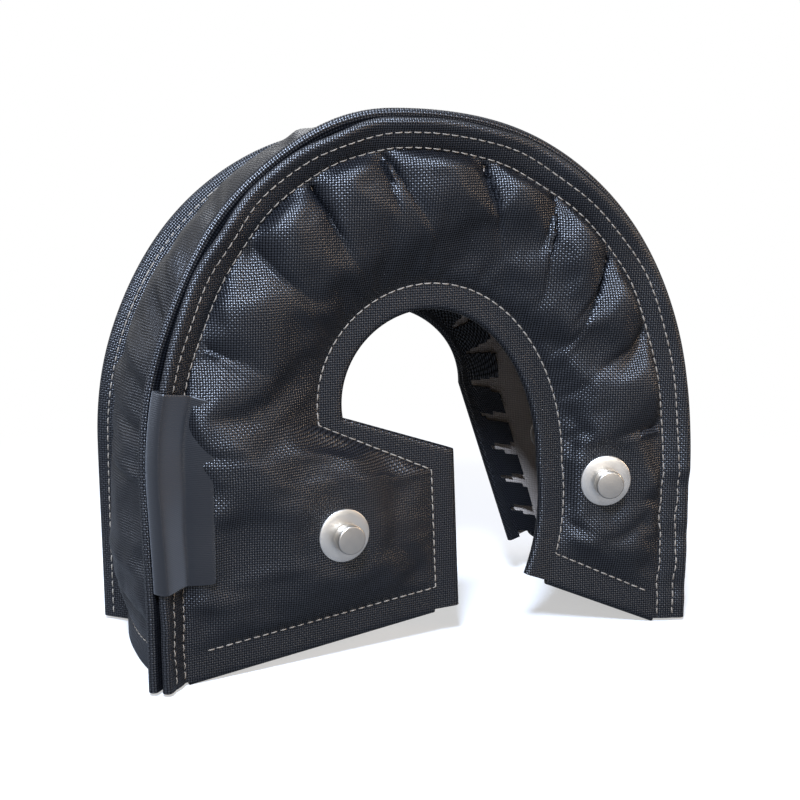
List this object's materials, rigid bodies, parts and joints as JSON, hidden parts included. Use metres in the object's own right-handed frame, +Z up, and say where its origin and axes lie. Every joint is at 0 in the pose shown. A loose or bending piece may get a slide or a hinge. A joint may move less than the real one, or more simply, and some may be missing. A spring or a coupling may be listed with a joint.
{
  "type": "turbo heat blanket",
  "caption": "Padded horseshoe blanket of black coated glass cloth that wraps a turbocharger turbine housing and is laced shut over steel posts to hold its heat in.",
  "frame": {"origin": "bottom centre of the blanket as it stands on its two ends", "axes": "+X across the horseshoe to the right of the front panel, +Y from the front panel to the rear panel, +Z up through the crown"},
  "size_m": [0.2432, 0.1072, 0.2246],
  "materials": {
    "coated_cloth": "black silicone-coated woven glass cloth, satin",
    "lining_cloth": "tan woven silica cloth, matt",
    "fibre_batting": "off-white ceramic fibre felt",
    "sewing_thread": "beige glass-fibre sewing thread",
    "stainless_washer": "stainless sheet, brushed",
    "stainless_post": "turned stainless steel",
    "satin_label": "black woven satin, bare"
  },
  "bodies": {
    "root": {"front_outer_cloth": "coated_cloth", "rear_outer_cloth": "coated_cloth", "gusset_outer_cloth": "coated_cloth", "front_lining": "lining_cloth", "rear_lining": "lining_cloth", "gusset_lining": "lining_cloth", "front_batting": "fibre_batting", "rear_batting": "fibre_batting", "gusset_batting": "fibre_batting", "front_rim_stitch_outer": "sewing_thread", "front_rim_stitch_inner": "sewing_thread", "front_edge_stitch": "sewing_thread", "rear_rim_stitch_outer": "sewing_thread", "rear_rim_stitch_inner": "sewing_thread", "rear_edge_stitch": "sewing_thread", "gusset_hem_stitch_left": "sewing_thread", "gusset_hem_stitch_right": "sewing_thread", "front_left_washer": "stainless_washer", "front_right_washer": "stainless_washer", "rear_left_washer": "stainless_washer", "rear_right_washer": "stainless_washer", "front_left_lock_washer": "stainless_washer", "front_right_lock_washer": "stainless_washer", "rear_left_lock_washer": "stainless_washer", "rear_right_lock_washer": "stainless_washer", "front_left_capstan": "stainless_post", "front_right_capstan": "stainless_post", "rear_left_capstan": "stainless_post", "rear_right_capstan": "stainless_post", "label_loop": "satin_label"}
  },
  "joints": []
}
